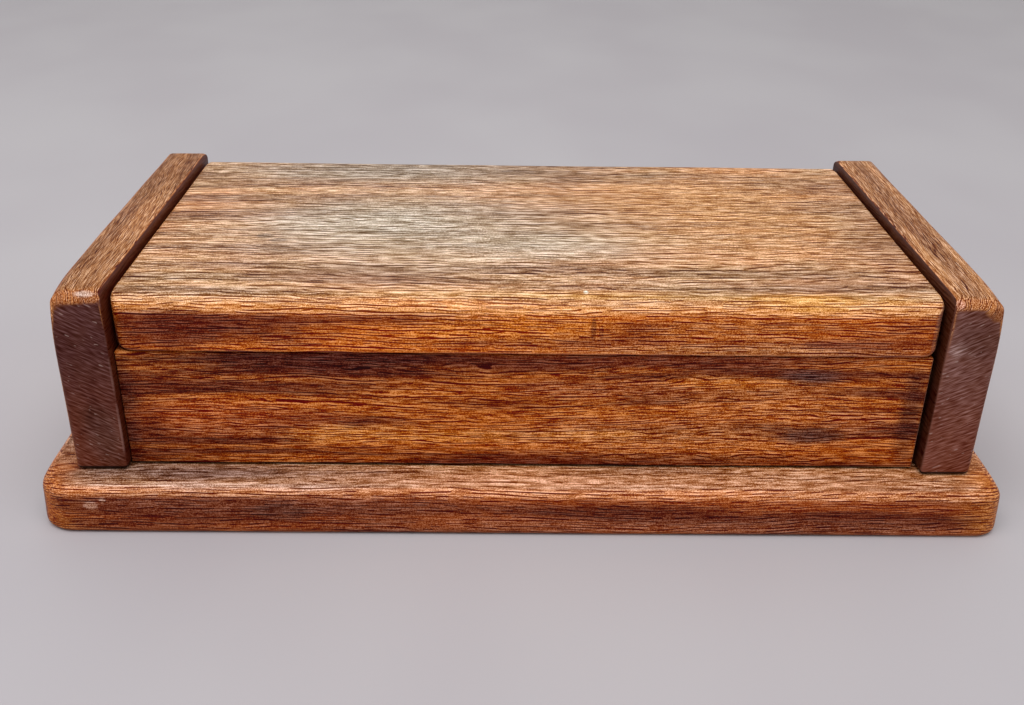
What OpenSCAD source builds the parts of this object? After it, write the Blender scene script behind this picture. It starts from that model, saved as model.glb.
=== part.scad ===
// Puzzle box of oak boards: a captive lid on hidden pivot pins between two end boards, a front panel that
// slides a little sideways, and two loose pins that lock the lid's ends.
// Millimetres. X runs left to right, Y front to back, Z up; the origin is under the middle of the base board.

/* [Base board] */
// Length of the base board, left to right
base_length = 358; // [320:1:420]
// Depth of the base board, front to back
base_depth = 184; // [170:1:230]
// Thickness of the base board
base_thickness = 19.6; // [16:0.1:26]
// Radius of the base board's corners, seen from above
base_corner_radius = 11; // [7:0.5:14]
// Rounding of the base board's top edge
base_top_round = 6; // [2:0.5:7]
// Rounding of the base board's bottom edge
base_bottom_round = 2.5; // [1:0.5:4]
// How far the base board stands out beyond each end board
side_overhang = 12.5; // [8:0.1:20]
// How far the base board stands out in front of the end boards
front_overhang = 12.2; // [8:0.1:20]
// How far the base board stands out behind the end boards
rear_overhang = 11.3; // [8:0.1:20]
// How far the hand-set box body stands to the right of the base board's middle
body_shift = 1.3; // [-2:0.1:2]

/* [End boards] */
// Thickness of each end board
end_thickness = 19.3; // [16:0.1:24]
// Height of the end boards above the base board
end_height = 72.3; // [64:0.1:90]
// Rounding of the end boards' top edges at the front, the rear and the outside
end_top_round = 4; // [2:0.5:6]
// Rounding of the end boards' top edges beside the lid
end_inner_round = 1.8; // [1:0.2:3]
// Rounding of the end boards' bottom edges
end_bottom_round = 1.8; // [0.6:0.2:3]
// Rounding of the end boards' upright edges
end_side_round = 1.2; // [0.6:0.2:2]

/* [Panels] */
// Thickness of the front panel and the back panel
panel_thickness = 19; // [16:0.1:22]
// How far each panel stands back from the ends of the end boards
panel_setback = 4.4; // [3:0.1:7]
// Rounding of the panels' long edges
panel_round = 0.8; // [0.4:0.1:1.5]
// Sideways travel of the front panel
panel_travel = 1.5; // [1.2:0.1:2]
// Clearance left at each end of the front panel's travel
panel_end_clearance = 0.2; // [0.1:0.05:0.4]
// Seam under the front panel and between it and the lid
seam = 0.35; // [0.2:0.05:0.6]

/* [Lid] */
// Thickness of the lid
lid_thickness = 21.4; // [19:0.1:24]
// How far the lid's top lies below the tops of the end boards
lid_drop = 3.3; // [1:0.1:5]
// How far the lid's front stands out over the front panel
lid_front_lip = 1; // [0.4:0.1:3]
// How far the lid's rear edge stands in from the rear of the end boards
lid_rear_setback = 2.7; // [2:0.1:4]
// Gap between each end of the lid and the end board
lid_end_gap = 0.8; // [0.7:0.05:1.5]
// How far the lid lies to the right of the middle between the end boards
lid_shift = 0.1; // [-0.4:0.1:0.4]
// Rounding of the lid's front top edge
lid_front_round = 5; // [2:0.5:7]
// Rounding of the lid's rear top edge
lid_rear_round = 4; // [3:0.5:6]
// Rounding of the lid's top edges at its ends
lid_end_top_round = 1.2; // [0.6:0.2:3]
// Rounding of the lid's bottom edges at its ends
lid_end_bottom_round = 4; // [2:0.5:5]
// Radius of the lid's front corners, seen from above
lid_corner_radius = 4.5; // [2:0.5:8]
// Rounding of the lid's front bottom edge
lid_bottom_round = 1.2; // [0.6:0.2:2]
// Gap between the lid and the back panel's top edge, which sets how far the lid opens
lid_stop_gap = 1.2; // [1:0.1:2.5]

/* [Pivot pins] */
// Diameter of the lid's pivot pins
pivot_pin_diameter = 6; // [4:0.5:7]
// Length of a pivot pin inside the end board
pivot_pin_seat = 11; // [8:0.5:13]
// Length of a pivot pin inside the lid
pivot_pin_reach = 13; // [8:0.5:20]

/* [Lock pins] */
// Diameter of the loose lock pins
lock_pin_diameter = 6; // [4:0.5:8]
// Length of a lock pin
lock_pin_length = 12.5; // [10:0.5:13]
// Travel of a lock pin
lock_pin_travel = 7; // [5:0.5:8]
// Distance from the lid's front to the lock pins
lock_pin_setback = 24; // [16:1:40]

/* [Hooks] */
// Distance of each hook from the middle of the box body
hook_offset = 92; // [60:1:115]
// Width of a hook
hook_width = 12; // [9:0.5:18]
// Thickness of the hook plate
hook_plate = 2; // [1.5:0.1:2.5]
// Depth of a hook below the lid
hook_drop = 16; // [14:0.5:20]
// Length of a hook's flange under the lid
hook_flange = 22; // [18:0.5:30]
// Distance from the front panel to the hooks
hook_standoff = 5; // [4:0.1:8]
// Height of the strike pins above the bottom of a hook
strike_rise = 6; // [5:0.5:8]
// Diameter of a strike pin
strike_diameter = 3; // [2:0.5:4]
// Length of a strike pin inside the front panel
strike_seat = 10; // [6:0.5:14]
// Side clearance between a strike pin and its hook when the lid is free
strike_clearance = 0.2; // [0.1:0.05:0.3]

/* [Dowels] */
// Diameter of the panels' dowels
dowel_diameter = 8; // [6:0.5:10]
// Length of a dowel inside its panel
dowel_panel_reach = 20; // [12:0.5:30]
// Length of a dowel inside the end board
dowel_end_reach = 8; // [5:0.5:10]
// Height of the lower dowels above the base board
lower_dowel_height = 13; // [9:0.5:14]
// Distance between the lower and the upper dowels
dowel_pitch = 22; // [18:0.5:24]

/* [Screws] */
// Shank diameter of the base screws
base_screw_diameter = 4.2; // [3:0.1:5]
// Head diameter of the base screws
base_screw_head = 8.4; // [7:0.1:10]
// Length of the base screws
base_screw_length = 38; // [30:1:50]
// Distance between the screws of one end board
end_screw_pitch = 50; // [35:1:52]
// Distance between the screws of the back panel
back_screw_pitch = 105; // [60:1:120]
// Shank diameter of the hook screws
hook_screw_diameter = 2.8; // [2:0.1:3.2]
// Head diameter of the hook screws
hook_screw_head = 5.2; // [4.6:0.1:6]
// Length of the hook screws
hook_screw_length = 12; // [8:0.5:16]
// Distance between the two screws of a hook
hook_screw_pitch = 10; // [8:0.5:12]

/* [Fits] */
// Radial clearance of pins and dowels that run in their bores
running_clearance = 0.08; // [0.03:0.01:0.1]
// Radial clearance of pins, dowels and screws that are fixed in their bores
fixed_clearance = 0.05; // [0.02:0.01:0.1]
// Room beyond the end of each pin, dowel or screw in its bore
end_room = 0.6; // [0.3:0.1:1]

/* [Hidden] */
// Box body, set on the base board
body_left = -base_length / 2 + side_overhang + body_shift;
body_right = base_length / 2 - side_overhang + body_shift;
body_front = -base_depth / 2 + front_overhang;
body_rear = base_depth / 2 - rear_overhang;
inner_left = body_left + end_thickness;
inner_right = body_right - end_thickness;
body_top = base_thickness + end_height;

// Front panel and back panel
front_face = body_front + panel_setback;
front_inside = front_face + panel_thickness;
back_face = body_rear - panel_setback;
back_inside = back_face - panel_thickness;
panel_left = inner_left + panel_end_clearance;
panel_right = inner_right - panel_end_clearance - panel_travel;

// Lid and its pivot axis
lid_top = body_top - lid_drop;
lid_bottom = lid_top - lid_thickness;
lid_left = inner_left + lid_end_gap + lid_shift;
lid_right = inner_right - lid_end_gap + lid_shift;
lid_front = front_face - lid_front_lip;
lid_rear = body_rear - lid_rear_setback;
pivot_y = lid_rear - lid_thickness / 2;
pivot_z = lid_bottom + lid_thickness / 2;
panel_bottom = base_thickness + seam;
panel_top = lid_bottom - seam;
back_top = lid_bottom - lid_stop_gap;

// Lock pins, resting inside the end boards
lock_y = lid_front + lock_pin_setback;
lock_rest_gap = 0.4;
lock_bore_depth = lock_pin_length + lock_rest_gap + end_room;
lock_lid_depth = lock_pin_travel + end_room;

// Hooks under the lid and strike pins in the front panel
hook_front = front_inside + hook_standoff;
hook_bottom = lid_bottom - hook_drop;
hook_bend = 3;
hook_corner = 2;
strike_z = hook_bottom + strike_rise;
strike_past_hook = 1.5;
strike_reach = hook_standoff + hook_plate + strike_past_hook;
strike_shift = hook_width / 2 + strike_clearance + strike_diameter / 2;
notch_depth = panel_travel - strike_clearance + 0.4;
notch_height = strike_diameter + 0.8;
hook_screw_first = hook_bend + hook_screw_head / 2 + 1.5;

// Dowels
front_dowel_y = front_face + panel_thickness / 2;
back_dowel_y = back_face - panel_thickness / 2;
dowel_heights = [base_thickness + lower_dowel_height, base_thickness + lower_dowel_height + dowel_pitch];
dowel_chamfer = 0.8;

// Screws
screw_sink = 0.6;
base_screw_x = [body_left + end_thickness / 2, body_right - end_thickness / 2];
end_screw_middle = (body_front + body_rear) / 2;
back_screw_middle = (body_left + body_right) / 2;
hook_x = [back_screw_middle - hook_offset, back_screw_middle + hook_offset];
overcut = 1;
$fn = 64;

// ---- Shapes that repeat ----

// What sanding takes off a corner: a square less the quarter circle that stays
module corner_waste(radius) {
    difference() {
        square(radius + overcut);
        circle(r = radius);
    }
}

// Rectangle from the origin with its own radius at each corner: lower left, lower right, upper right, upper left
module rounded_rectangle(width, height, radii) {
    corners = [[0, 0], [width, 0], [width, height], [0, height]];
    turns = [180, 270, 0, 90];
    difference() {
        square([width, height]);
        for (i = [0:3]) {
            inward = [i == 0 || i == 3 ? radii[i] : -radii[i], i < 2 ? radii[i] : -radii[i]];
            translate(corners[i] + inward) rotate(turns[i]) corner_waste(radii[i]);
        }
    }
}

// Board between two corner points, rounded by three profiles: seen from above, from the front and from the left
module sanded_board(low, high, plan_radii, front_radii, side_radii) {
    size = high - low;
    translate(low) intersection() {
        translate([0, 0, -overcut])
            linear_extrude(size.z + 2 * overcut) rounded_rectangle(size.x, size.y, plan_radii);
        translate([0, size.y + overcut, 0]) rotate([90, 0, 0])
            linear_extrude(size.y + 2 * overcut) rounded_rectangle(size.x, size.z, front_radii);
        translate([-overcut, 0, 0]) rotate([90, 0, 90])
            linear_extrude(size.x + 2 * overcut) rounded_rectangle(size.y, size.z, side_radii);
    }
}

// Edge of a routed board: straight on the inside, rounded at the top and bottom of the outside
module routed_edge(width, height, top_radius, bottom_radius) {
    rounded_rectangle(width, height, [0, bottom_radius, top_radius, 0]);
}

// Board centred on the origin whose edge profile runs round all four sides and corners
module routed_board(length, depth, height, corner, top_radius, bottom_radius) {
    straight_x = length / 2 - corner;
    straight_y = depth / 2 - corner;
    translate([-straight_x, 0, 0]) rotate([90, 0, 90]) linear_extrude(2 * straight_x)
        translate([-depth / 2, 0])
            rounded_rectangle(depth, height, [bottom_radius, bottom_radius, top_radius, top_radius]);
    for (side = [0, 1]) mirror([side, 0, 0]) {
        translate([straight_x, straight_y, 0]) rotate([90, 0, 0])
            linear_extrude(2 * straight_y) routed_edge(corner, height, top_radius, bottom_radius);
        for (end = [0, 1]) mirror([0, end, 0]) translate([straight_x, straight_y, 0])
            rotate_extrude(angle = 90) routed_edge(corner, height, top_radius, bottom_radius);
    }
}

// Pin along +X from the origin with broken edges
module pin(diameter, length, chamfer) {
    radius = diameter / 2;
    rotate([90, 0, 90]) rotate_extrude() polygon([
        [0, 0], [radius - chamfer, 0], [radius, chamfer],
        [radius, length - chamfer], [radius - chamfer, length], [0, length]
    ]);
}

// Plain bore along +X from the origin
module bore(diameter, length) {
    rotate([90, 0, 90]) cylinder(d = diameter, h = length);
}

// Countersunk wood screw along +Z, its head's face at the origin, with a cross recess
module wood_screw(shank, head, length) {
    head_height = (head - shank) / 2;
    rim = head * 0.06;
    point = shank;
    recess_depth = head_height * 0.8;
    difference() {
        rotate_extrude() polygon([
            [0, 0], [head / 2, 0], [head / 2, rim], [shank / 2, rim + head_height],
            [shank / 2, length - point], [shank * 0.1, length], [0, length]
        ]);
        for (turn = [0, 90]) rotate(turn)
            translate([-head * 0.3, -head * 0.07, -overcut])
                cube([head * 0.6, head * 0.14, recess_depth + overcut]);
    }
}

// Hole for a wood screw along +Z: countersink, then a hole through the first piece
module screw_hole(shank, head, depth) {
    head_height = (head - shank) / 2;
    rim = head * 0.06;
    head_radius = head / 2 + fixed_clearance;
    hole_radius = shank / 2 + fixed_clearance;
    rotate_extrude() polygon([
        [0, -overcut], [head_radius, -overcut], [head_radius, rim], [hole_radius, rim + head_height],
        [hole_radius, depth], [0, depth]
    ]);
}

// ---- Places that several pieces share ----

// Puts its child at the two dowels of one panel end, pointing along +X
module at_dowels(x, y) {
    for (z = dowel_heights) translate([x, y, z]) children();
}

// Puts its child at the three screws of the end board at x
module at_end_screws(x) {
    for (step = [-1:1]) translate([x, end_screw_middle + step * end_screw_pitch, 0]) children();
}

// Puts its child at the three screws of the back panel
module at_back_screws() {
    for (step = [-1:1]) translate([back_screw_middle + step * back_screw_pitch, back_dowel_y, 0]) children();
}

// Puts its child at the two screws of the hook at x, pointing up into the lid
module at_hook_screws(x) {
    for (step = [0, 1])
        translate([x, hook_front + hook_screw_first + step * hook_screw_pitch, lid_bottom - hook_plate]) children();
}

// Bores of one end board, drilled from its inner face at x towards the direction given
module end_board_bores(x, direction) {
    translate([x, 0, 0]) mirror([direction < 0 ? 1 : 0, 0, 0]) translate([-overcut, 0, 0]) {
        translate([0, pivot_y, pivot_z])
            bore(pivot_pin_diameter + 2 * fixed_clearance, pivot_pin_seat + end_room + overcut);
        translate([0, lock_y, pivot_z])
            bore(lock_pin_diameter + 2 * running_clearance, lock_bore_depth + overcut);
        at_dowels(0, front_dowel_y)
            bore(dowel_diameter + 2 * running_clearance, dowel_end_reach + end_room + overcut);
        at_dowels(0, back_dowel_y)
            bore(dowel_diameter + 2 * fixed_clearance, dowel_end_reach + end_room + overcut);
    }
}

// End board from x; its right and left top edges have their own rounding
module end_board(x, right_round, left_round) {
    difference() {
        sanded_board(
            [x, body_front, base_thickness], [x + end_thickness, body_rear, body_top],
            end_side_round * [1, 1, 1, 1],
            [end_bottom_round, end_bottom_round, right_round, left_round],
            [end_bottom_round, end_bottom_round, end_top_round, end_top_round]
        );
        at_end_screws(x + end_thickness / 2) translate([0, 0, base_thickness - overcut])
            cylinder(
                d = base_screw_diameter + 2 * fixed_clearance,
                h = base_screw_length + screw_sink - base_thickness + end_room + overcut
            );
    }
}

// Two dowels of one panel end; x is the panel's end and direction points into the end board
module dowel_pair(x, y, direction, end_reach) {
    at_dowels(x, y) mirror([direction < 0 ? 1 : 0, 0, 0]) translate([-dowel_panel_reach, 0, 0])
        pin(dowel_diameter, dowel_panel_reach + end_reach, dowel_chamfer);
}

// Bores for the dowels in both ends of a panel
module panel_dowel_bores(left, right, y) {
    depth = dowel_panel_reach + end_room + overcut;
    at_dowels(left - overcut, y) bore(dowel_diameter + 2 * fixed_clearance, depth);
    at_dowels(right + overcut - depth, y) bore(dowel_diameter + 2 * fixed_clearance, depth);
}

// Brass hook at x: a flange under the lid and a tongue with a notch open to the left
module lid_hook(x) {
    difference() {
        translate([x - hook_width / 2, hook_front, lid_bottom]) rotate([90, 0, 90])
            linear_extrude(hook_width) hook_profile();
        translate([x - hook_width / 2 - overcut, hook_front - overcut, strike_z - notch_height / 2])
            cube([notch_depth + overcut, hook_plate + 2 * overcut, notch_height]);
        for (side = [0, 1])
            translate([x, hook_front - overcut, hook_bottom]) mirror([side, 0, 0])
                translate([hook_width / 2 - hook_corner, hook_plate + 2 * overcut, hook_corner])
                    rotate([90, 0, 0]) linear_extrude(hook_plate + 2 * overcut)
                        rotate(270) corner_waste(hook_corner);
        at_hook_screws(x) screw_hole(hook_screw_diameter, hook_screw_head, hook_plate + overcut);
    }
}

// Bent strip seen from the side: the lid's underside is at 0, the tongue hangs down at the front
module hook_profile() {
    inner_bend = hook_bend - hook_plate;
    difference() {
        translate([0, -hook_drop]) square([hook_flange, hook_drop]);
        translate([hook_plate, -hook_drop - overcut])
            square([hook_flange, hook_drop + overcut - hook_bend]);
        translate([hook_bend, -hook_bend - overcut]) square([hook_flange, hook_bend + overcut - hook_plate]);
        translate([hook_bend, -hook_bend]) circle(r = inner_bend);
        translate([hook_bend, -hook_bend]) rotate(90) corner_waste(hook_bend);
    }
}

module hook_screws(x) {
    at_hook_screws(x) wood_screw(hook_screw_diameter, hook_screw_head, hook_screw_length);
}

module strike_pin(x) {
    translate([x, front_inside - strike_seat, strike_z]) rotate(90)
        pin(strike_diameter, strike_seat + strike_reach, strike_diameter / 8);
}

// ---- Sub-parts ----

module base_board() {
    color("sienna") difference() {
        routed_board(
            base_length, base_depth, base_thickness, base_corner_radius, base_top_round, base_bottom_round
        );
        for (x = base_screw_x) at_end_screws(x) base_screw_hole();
        at_back_screws() base_screw_hole();
    }
}

module base_screw_hole() {
    translate([0, 0, screw_sink]) screw_hole(base_screw_diameter, base_screw_head, base_thickness);
}

module base_screw() {
    translate([0, 0, screw_sink]) wood_screw(base_screw_diameter, base_screw_head, base_screw_length);
}

module left_end_board() {
    color("saddlebrown") difference() {
        end_board(body_left, end_inner_round, end_top_round);
        end_board_bores(inner_left, -1);
    }
}

module right_end_board() {
    color("saddlebrown") difference() {
        end_board(inner_right, end_top_round, end_inner_round);
        end_board_bores(inner_right, 1);
    }
}

module back_panel() {
    color("peru") difference() {
        sanded_board(
            [inner_left, back_inside, base_thickness], [inner_right, back_face, back_top],
            panel_round / 2 * [1, 1, 1, 1], panel_round / 2 * [1, 1, 1, 1], panel_round * [1, 1, 1, 1]
        );
        panel_dowel_bores(inner_left, inner_right, back_dowel_y);
        at_back_screws() translate([0, 0, base_thickness - overcut])
            cylinder(
                d = base_screw_diameter + 2 * fixed_clearance,
                h = base_screw_length + screw_sink - base_thickness + end_room + overcut
            );
    }
}

module front_panel() {
    color("chocolate") difference() {
        sanded_board(
            [panel_left, front_face, panel_bottom], [panel_right, front_inside, panel_top],
            panel_round / 2 * [1, 1, 1, 1], panel_round / 2 * [1, 1, 1, 1], panel_round * [1, 1, 1, 1]
        );
        panel_dowel_bores(panel_left, panel_right, front_dowel_y);
        for (x = hook_x) translate([x - strike_shift, front_inside + overcut, strike_z]) rotate(-90)
            bore(strike_diameter + 2 * fixed_clearance, strike_seat + end_room + overcut);
    }
}

module lid_board() {
    half = lid_thickness / 2;
    color("peru") difference() {
        sanded_board(
            [lid_left, lid_front, lid_bottom], [lid_right, lid_rear, lid_top],
            [lid_corner_radius, lid_corner_radius, lid_end_top_round, lid_end_top_round],
            [lid_end_bottom_round, lid_end_bottom_round, lid_end_top_round, lid_end_top_round],
            [lid_bottom_round, half, lid_rear_round, lid_front_round]
        );
        for (direction = [-1, 1])
            translate([direction < 0 ? lid_left : lid_right, 0, pivot_z])
                mirror([direction < 0 ? 0 : 1, 0, 0]) translate([-overcut, 0, 0]) {
                    translate([0, pivot_y, 0])
                        bore(
                            pivot_pin_diameter + 2 * running_clearance,
                            pivot_pin_reach + end_room + overcut
                        );
                    translate([0, lock_y, 0])
                        bore(lock_pin_diameter + 2 * running_clearance, lock_lid_depth + overcut);
                }
        for (x = hook_x) at_hook_screws(x)
            cylinder(d = hook_screw_diameter + 2 * fixed_clearance, h = hook_screw_length + end_room);
    }
}

module left_pivot_pin() {
    color("silver") translate([inner_left - pivot_pin_seat, pivot_y, pivot_z])
        pin(pivot_pin_diameter, pivot_pin_seat + pivot_pin_reach, 0.6);
}

module right_pivot_pin() {
    color("silver") translate([inner_right + pivot_pin_seat, pivot_y, pivot_z]) mirror([1, 0, 0])
        pin(pivot_pin_diameter, pivot_pin_seat + pivot_pin_reach, 0.6);
}

module left_lock_pin() {
    color("silver") translate([inner_left - lock_rest_gap - lock_pin_length, lock_y, pivot_z])
        pin(lock_pin_diameter, lock_pin_length, 0.6);
}

module right_lock_pin() {
    color("silver") translate([inner_right + lock_rest_gap, lock_y, pivot_z])
        pin(lock_pin_diameter, lock_pin_length, 0.6);
}

module left_lid_hook() {
    color("goldenrod") lid_hook(hook_x[0]);
}

module right_lid_hook() {
    color("goldenrod") lid_hook(hook_x[1]);
}

module left_hook_screws() {
    color("goldenrod") hook_screws(hook_x[0]);
}

module right_hook_screws() {
    color("goldenrod") hook_screws(hook_x[1]);
}

module left_strike_pin() {
    color("silver") strike_pin(hook_x[0] - strike_shift);
}

module right_strike_pin() {
    color("silver") strike_pin(hook_x[1] - strike_shift);
}

module front_panel_left_dowels() {
    color("burlywood") dowel_pair(panel_left, front_dowel_y, -1, dowel_end_reach);
}

module front_panel_right_dowels() {
    color("burlywood") dowel_pair(panel_right, front_dowel_y, 1, dowel_end_reach);
}

module back_panel_left_dowels() {
    color("burlywood") dowel_pair(inner_left, back_dowel_y, -1, dowel_end_reach);
}

module back_panel_right_dowels() {
    color("burlywood") dowel_pair(inner_right, back_dowel_y, 1, dowel_end_reach);
}

module left_end_screws() {
    color("silver") at_end_screws(base_screw_x[0]) base_screw();
}

module right_end_screws() {
    color("silver") at_end_screws(base_screw_x[1]) base_screw();
}

module back_panel_screws() {
    color("silver") at_back_screws() base_screw();
}

base_board();
left_end_board();
right_end_board();
back_panel();
lid_board();
front_panel();
left_pivot_pin();
right_pivot_pin();
left_lock_pin();
right_lock_pin();
left_lid_hook();
right_lid_hook();
left_hook_screws();
right_hook_screws();
left_strike_pin();
right_strike_pin();
front_panel_left_dowels();
front_panel_right_dowels();
back_panel_left_dowels();
back_panel_right_dowels();
left_end_screws();
right_end_screws();
back_panel_screws();
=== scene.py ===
"""Looks of the wooden puzzle box: worn oak boards, their metal and wooden fittings, floor, light and camera.

Sizes in this file are in millimetres unless a name says otherwise; MM turns them into Blender's metres.
X runs left to right, Y front to back and Z up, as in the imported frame.
"""

import math

import bpy
import numpy as np
from mathutils import Matrix, Vector


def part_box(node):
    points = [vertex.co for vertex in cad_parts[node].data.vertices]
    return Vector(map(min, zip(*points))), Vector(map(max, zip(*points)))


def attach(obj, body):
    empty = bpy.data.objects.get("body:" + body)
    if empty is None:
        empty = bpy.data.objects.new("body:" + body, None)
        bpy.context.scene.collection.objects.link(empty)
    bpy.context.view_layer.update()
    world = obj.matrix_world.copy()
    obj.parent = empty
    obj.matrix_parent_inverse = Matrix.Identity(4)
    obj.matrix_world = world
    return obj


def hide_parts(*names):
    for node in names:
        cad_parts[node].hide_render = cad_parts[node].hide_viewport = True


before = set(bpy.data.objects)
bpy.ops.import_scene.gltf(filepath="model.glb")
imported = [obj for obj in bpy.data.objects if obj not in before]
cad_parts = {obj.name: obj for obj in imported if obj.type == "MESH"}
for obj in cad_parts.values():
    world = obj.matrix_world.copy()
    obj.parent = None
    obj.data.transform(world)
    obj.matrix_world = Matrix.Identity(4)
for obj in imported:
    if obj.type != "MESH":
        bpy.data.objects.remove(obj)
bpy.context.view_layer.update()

MM = 0.001
IMAGE_WIDTH = 1024

# ---- Camera, as fitted to the edges of the boards ----

CAMERA_PLACE = (-10.598, -428.445, 250.188)
CAMERA_YAW = 0.0171
CAMERA_PITCH = 0.4769
CAMERA_ROLL = 0.0166
FOCAL_PIXELS = 1117.27
SENSOR_WIDTH = 36.0
CLIP_START_METRES = 0.02
CLIP_END_METRES = 60


def make_camera():
    """The camera looks along +Y, down by the pitch, turned to the right by the yaw and tilted by the roll."""
    forward = Vector(
        (
            math.sin(CAMERA_YAW) * math.cos(CAMERA_PITCH),
            math.cos(CAMERA_YAW) * math.cos(CAMERA_PITCH),
            -math.sin(CAMERA_PITCH),
        )
    )
    level = Vector((math.cos(CAMERA_YAW), -math.sin(CAMERA_YAW), 0))
    upright = level.cross(forward)
    right = math.cos(CAMERA_ROLL) * level + math.sin(CAMERA_ROLL) * upright
    up = math.cos(CAMERA_ROLL) * upright - math.sin(CAMERA_ROLL) * level
    data = bpy.data.cameras.new("photo_camera")
    data.sensor_width = SENSOR_WIDTH
    data.lens = SENSOR_WIDTH * FOCAL_PIXELS / IMAGE_WIDTH
    data.clip_start = CLIP_START_METRES
    data.clip_end = CLIP_END_METRES
    camera = bpy.data.objects.new("photo_camera", data)
    bpy.context.scene.collection.objects.link(camera)
    turn = Matrix((right, up, -forward)).transposed().to_4x4()
    camera.matrix_world = Matrix.Translation(Vector(CAMERA_PLACE) * MM) @ turn
    bpy.context.scene.camera = camera


# ---- Small helpers ----


def colour(red, green, blue):
    """Linear RGBA of a colour given as 0 to 255 values."""

    def linear(value):
        share = value / 255
        return share / 12.92 if share <= 0.04045 else ((share + 0.055) / 1.055) ** 2.4

    return (linear(red), linear(green), linear(blue), 1.0)


def mesh_object(name, points_mm, faces):
    """A new object in the scene from points in millimetres."""
    mesh = bpy.data.meshes.new(name)
    mesh.from_pydata([tuple(p) for p in np.asarray(points_mm) * MM], [], [tuple(f) for f in faces])
    mesh.update()
    made = bpy.data.objects.new(name, mesh)
    bpy.context.scene.collection.objects.link(made)
    return made


def box_mm(node):
    """Lowest and highest corner of a CAD node, in millimetres."""
    low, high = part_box(node)
    return np.array(low) / MM, np.array(high) / MM


def islands_mm(node):
    """Boxes (low, high) of the separate solids in a CAD node, in millimetres, sorted by place."""
    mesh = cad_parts[node].data
    points = np.array([v.co for v in mesh.vertices]) / MM
    weld = {}
    first = [weld.setdefault(tuple(np.round(p, 3)), i) for i, p in enumerate(points)]
    parent = list(range(len(points)))

    def root(i):
        while parent[i] != i:
            parent[i] = parent[parent[i]]
            i = parent[i]
        return i

    for edge in mesh.edges:
        parent[root(first[edge.vertices[0]])] = root(first[edge.vertices[1]])
    groups = {}
    for i, f in enumerate(first):
        groups.setdefault(root(f), []).append(i)
    boxes = [(points[g].min(0), points[g].max(0)) for g in groups.values()]
    return sorted(boxes, key=lambda b: tuple(np.round(b[0], 1)))


# ---- Board shapes: sanded boxes with worn edges ----

MARGIN_STEPS = 9
# The largest share of a board that one margin takes
MARGIN_LIMIT = 0.42
FLAT_STEP = 4.0
SHELL_HALVINGS = 26
WAVE_COUNT = 7
WAVE_SPREAD = 1.4
# Shortest and longest wave of the edges' wear, and of the undulation of the faces
WEAR_WAVES = (30, 110)
DIP_WAVES = (35, 130)
# Distance over which the undulation fades towards a flat face
DIP_FADE = 6
CORNER_REACH = 9.0


def waves(points, seed, shortest, longest):
    """Smooth random undulation between about -1 and 1 at each point, from a few sine waves."""
    random = np.random.default_rng(seed)
    total = np.zeros(len(points))
    for _ in range(WAVE_COUNT):
        direction = random.normal(size=3)
        direction /= np.linalg.norm(direction)
        length = random.uniform(shortest, longest)
        total += np.sin(points @ direction * 2 * math.pi / length + random.uniform(0, 2 * math.pi))
    return total / math.sqrt(WAVE_COUNT) / WAVE_SPREAD


def profile_distance(a, b, low, high, radii, wear):
    """Distance, negative inside, to a rectangle with its own radius at each corner.

    radii are those at (low, low), (high, low), (high, high) and (low, high); wear widens them.
    """
    half = (high - low) / 2
    a = a - (low[0] + high[0]) / 2
    b = b - (low[1] + high[1]) / 2
    below = np.where(a < 0, radii[0], radii[1])
    above = np.where(a < 0, radii[3], radii[2])
    radius = np.minimum(np.where(b < 0, below, above) * wear, half.min())
    across = np.abs(a) - half[0] + radius
    along = np.abs(b) - half[1] + radius
    outside = np.hypot(np.maximum(across, 0), np.maximum(along, 0))
    return outside + np.minimum(np.maximum(across, along), 0) - radius


def filleted_max(a, b, radius):
    """The larger of the distances a and b, with a fillet where both surfaces meet."""
    a = a + radius
    b = b + radius
    return np.hypot(np.maximum(a, 0), np.maximum(b, 0)) + np.minimum(np.maximum(a, b), 0) - radius


def radius_by_side(points, low, high, left, right, front, rear):
    """Rounding of a board's rim at each point, blended from side to side round the corners."""
    near = []
    for k in (0, 1):
        middle = (low[k] + high[k]) / 2
        beyond = np.abs(points[:, k] - middle) - (high[k] - low[k]) / 2 + CORNER_REACH
        near.append(np.maximum(beyond, 0) ** 2)
    by_x = np.where(points[:, 0] < (low[0] + high[0]) / 2, left, right)
    by_y = np.where(points[:, 1] < (low[1] + high[1]) / 2, front, rear)
    return (near[0] * by_x + near[1] * by_y) / (near[0] + near[1] + 1e-9)


def stations(low, high, margin):
    """Grid lines across a board: dense in the margins that are rounded, even between them."""
    near = np.linspace(0, margin, MARGIN_STEPS + 1)
    count = max(1, round((high - low - 2 * margin) / FLAT_STEP))
    middle = np.linspace(low + margin, high - margin, count + 1)
    return np.concatenate([low + near[:-1], middle, high - near[::-1][1:]])


def shell_grid(lines):
    """Points and outward quads of the box surface on three sets of grid lines."""
    counts = [len(line) for line in lines]
    index = np.stack(np.meshgrid(*[np.arange(n) for n in counts], indexing="ij"), -1)
    last = np.array(counts) - 1
    on_shell = ((index == 0) | (index == last)).any(-1)
    number = np.full(counts, -1)
    number[on_shell] = np.arange(on_shell.sum())
    chosen = index[on_shell]
    points = np.stack([lines[k][chosen[:, k]] for k in range(3)], -1)
    quads = []
    for axis in range(3):
        for side in (0, counts[axis] - 1):
            sheet = np.take(number, side, axis)
            corners = [sheet[:-1, :-1], sheet[1:, :-1], sheet[1:, 1:], sheet[:-1, 1:]]
            face = np.stack(corners, -1).reshape(-1, 4)
            if (side == 0) != (axis == 1):
                face = face[:, ::-1]
            quads.append(face)
    return points, np.concatenate(quads)


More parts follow.
